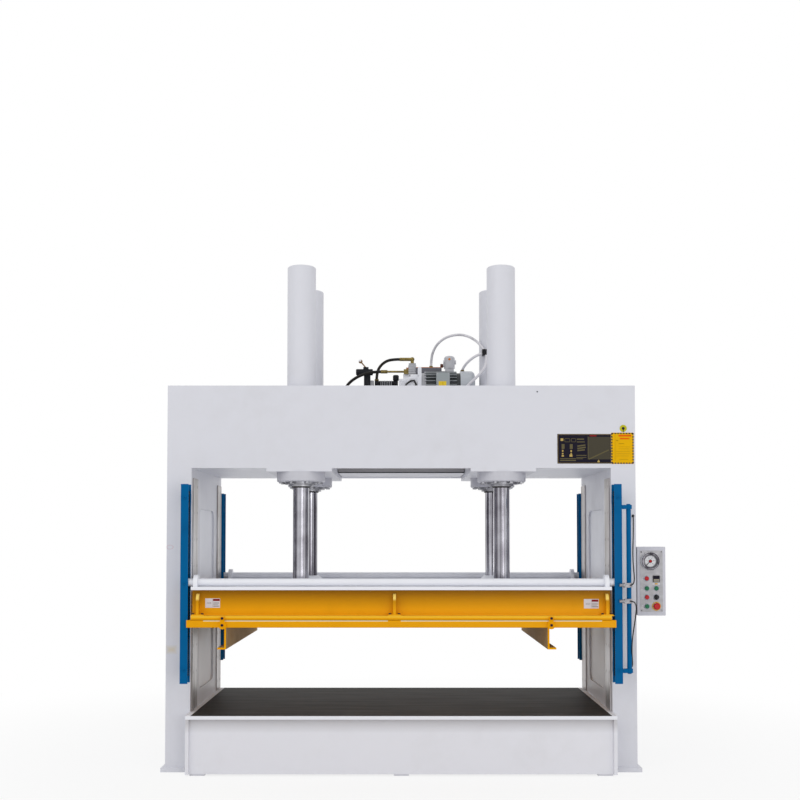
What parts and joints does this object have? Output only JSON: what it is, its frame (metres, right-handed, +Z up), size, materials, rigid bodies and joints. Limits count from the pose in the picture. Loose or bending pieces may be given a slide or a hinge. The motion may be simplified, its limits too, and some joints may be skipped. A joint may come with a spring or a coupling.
{
  "type": "hydraulic press",
  "caption": "Portal-frame cold press with a rising platen on hydraulic cylinders, rack-levelled shafts, a steel table and a control box on one post.",
  "frame": {"origin": "on the floor under the centre of the table", "axes": "+X to the operator's right, +Y from the front to the rear, +Z up"},
  "size_m": [3.067, 1.4228, 3.113],
  "materials": {
    "white_paint": "satin",
    "machined_steel": "worn",
    "wear_strip": "brushed",
    "yellow_paint": "gloss",
    "blue_paint": "gloss",
    "chrome_rod": "polished",
    "dark_steel": "oiled",
    "black_plastic": "matte",
    "bright_steel": "turned",
    "motor_grey": "satin",
    "box_grey": "fine texture",
    "panel_silver": "satin",
    "red_plastic": "gloss",
    "green_plastic": "gloss",
    "brass_fitting": "machined",
    "rubber_hose": "matte",
    "conduit_grey": "ribbed",
    "brown_plastic": "gloss",
    "gauge_white": "satin"
  },
  "bodies": {
    "frame": {"left_side_frame": "white_paint", "right_side_frame": "white_paint", "access_covers": "white_paint", "guide_strips": "wear_strip", "front_beam": "white_paint", "rear_beam": "white_paint", "soffit_plates": "white_paint", "cylinder_carriers": "white_paint", "cylinder_tubes": "white_paint", "gland_rings": "bright_steel", "flange_bolts": "bright_steel", "table_body": "white_paint", "table_top": "machined_steel", "rack_housings": "blue_paint", "gear_racks": "dark_steel", "sensor_rail": "blue_paint", "height_sensors": "bright_steel", "upper_sensor_cable": "rubber_hose", "lower_sensor_cable": "rubber_hose", "control_box": "box_grey", "control_panel": "panel_silver", "gauge_case": "gauge_white", "timer_display": "black_plastic", "signal_lamp": "red_plastic", "oil_tank": "white_paint", "tank_lid": "white_paint", "motor_housing": "motor_grey", "fan_cowl": "motor_grey", "terminal_box": "motor_grey", "pump": "dark_steel", "valve_block": "dark_steel", "manifold": "dark_steel", "pressure_valve": "bright_steel", "line_fittings": "brass_fitting", "upper_hose": "rubber_hose", "lower_hose": "rubber_hose", "first_conduit": "conduit_grey", "second_conduit": "conduit_grey", "third_conduit": "conduit_grey"},
    "platen": {"platen_frame": "yellow_paint", "platen_top_plate": "white_paint", "press_plate": "yellow_paint", "hanging_rails": "yellow_paint", "rod_feet": "white_paint", "piston_rods": "chrome_rod", "shaft_bearings": "white_paint"},
    "front_shaft_body": {"front_shaft": "white_paint", "front_pinions": "dark_steel"},
    "rear_shaft_body": {"rear_shaft": "white_paint", "rear_pinions": "dark_steel"},
    "pointer": {"gauge_pointer": "black_plastic"},
    "stop": {"stop_button": "red_plastic"},
    "upper_left": {"upper_left_button": "green_plastic"},
    "upper_right": {"upper_right_button": "green_plastic"},
    "lower_left": {"lower_left_button": "green_plastic"},
    "selector": {"selector_knob": "black_plastic"},
    "emergency": {"emergency_button": "red_plastic"},
    "rotor": {"motor_rotor": "dark_steel"},
    "lever": {"hand_lever": "bright_steel"},
    "relief": {"relief_knob": "brown_plastic"}
  },
  "joints": [
    {"name": "platen_slide", "type": "slide", "parent": "frame", "child": "platen", "axis": [0, 0, 1], "range_m": [-0.395, 0.53]},
    {"name": "front_shaft_spin", "type": "hinge", "parent": "platen", "child": "front_shaft_body", "pos_m": [0, -0.6398, 1.152], "axis": [1, 0, 0], "range_deg": [-1266, 943]},
    {"name": "rear_shaft_spin", "type": "hinge", "parent": "platen", "child": "rear_shaft_body", "pos_m": [0, 0.6598, 1.152], "axis": [1, 0, 0], "range_deg": [-943, 1266]},
    {"name": "pointer_turn", "type": "hinge", "parent": "frame", "child": "pointer", "pos_m": [1.517, -0.48, 1.274], "axis": [0, 1, 0], "range_deg": [0, 270], "stiffness_Nm_per_rad": 0.01},
    {"name": "stop_press", "type": "slide", "parent": "frame", "child": "stop", "axis": [0, 1, 0], "range_m": [0, 0.004], "stiffness_N_per_m": 400},
    {"name": "upper_left_press", "type": "slide", "parent": "frame", "child": "upper_left", "axis": [0, 1, 0], "range_m": [0, 0.004], "stiffness_N_per_m": 400},
    {"name": "upper_right_press", "type": "slide", "parent": "frame", "child": "upper_right", "axis": [0, 1, 0], "range_m": [0, 0.004], "stiffness_N_per_m": 400},
    {"name": "lower_left_press", "type": "slide", "parent": "frame", "child": "lower_left", "axis": [0, 1, 0], "range_m": [0, 0.004], "stiffness_N_per_m": 400},
    {"name": "selector_turn", "type": "hinge", "parent": "frame", "child": "selector", "pos_m": [1.553, -0.49, 1.055], "axis": [0, 1, 0], "range_deg": [-45, 45]},
    {"name": "emergency_press", "type": "slide", "parent": "frame", "child": "emergency", "axis": [0, 1, 0], "range_m": [0, 0.006]},
    {"name": "motor_spin", "type": "hinge", "parent": "frame", "child": "rotor", "pos_m": [0.268, 0.33, 2.458], "axis": [1, 0, 0], "continuous": true},
    {"name": "lever_swing", "type": "hinge", "parent": "frame", "child": "lever", "pos_m": [-0.244, 0.35, 2.5915], "axis": [0, 1, 0], "range_deg": [-25, 45]},
    {"name": "relief_turn", "type": "hinge", "parent": "frame", "child": "relief", "pos_m": [0.28, 0.485, 2.627], "axis": [1, 0, 0], "range_deg": [-720, 720]}
  ],
  "couplings": [
    {"joint": "front_shaft_spin", "follows": "platen_slide", "rad_per_m": -41.667},
    {"joint": "rear_shaft_spin", "follows": "platen_slide", "rad_per_m": 41.667}
  ]
}
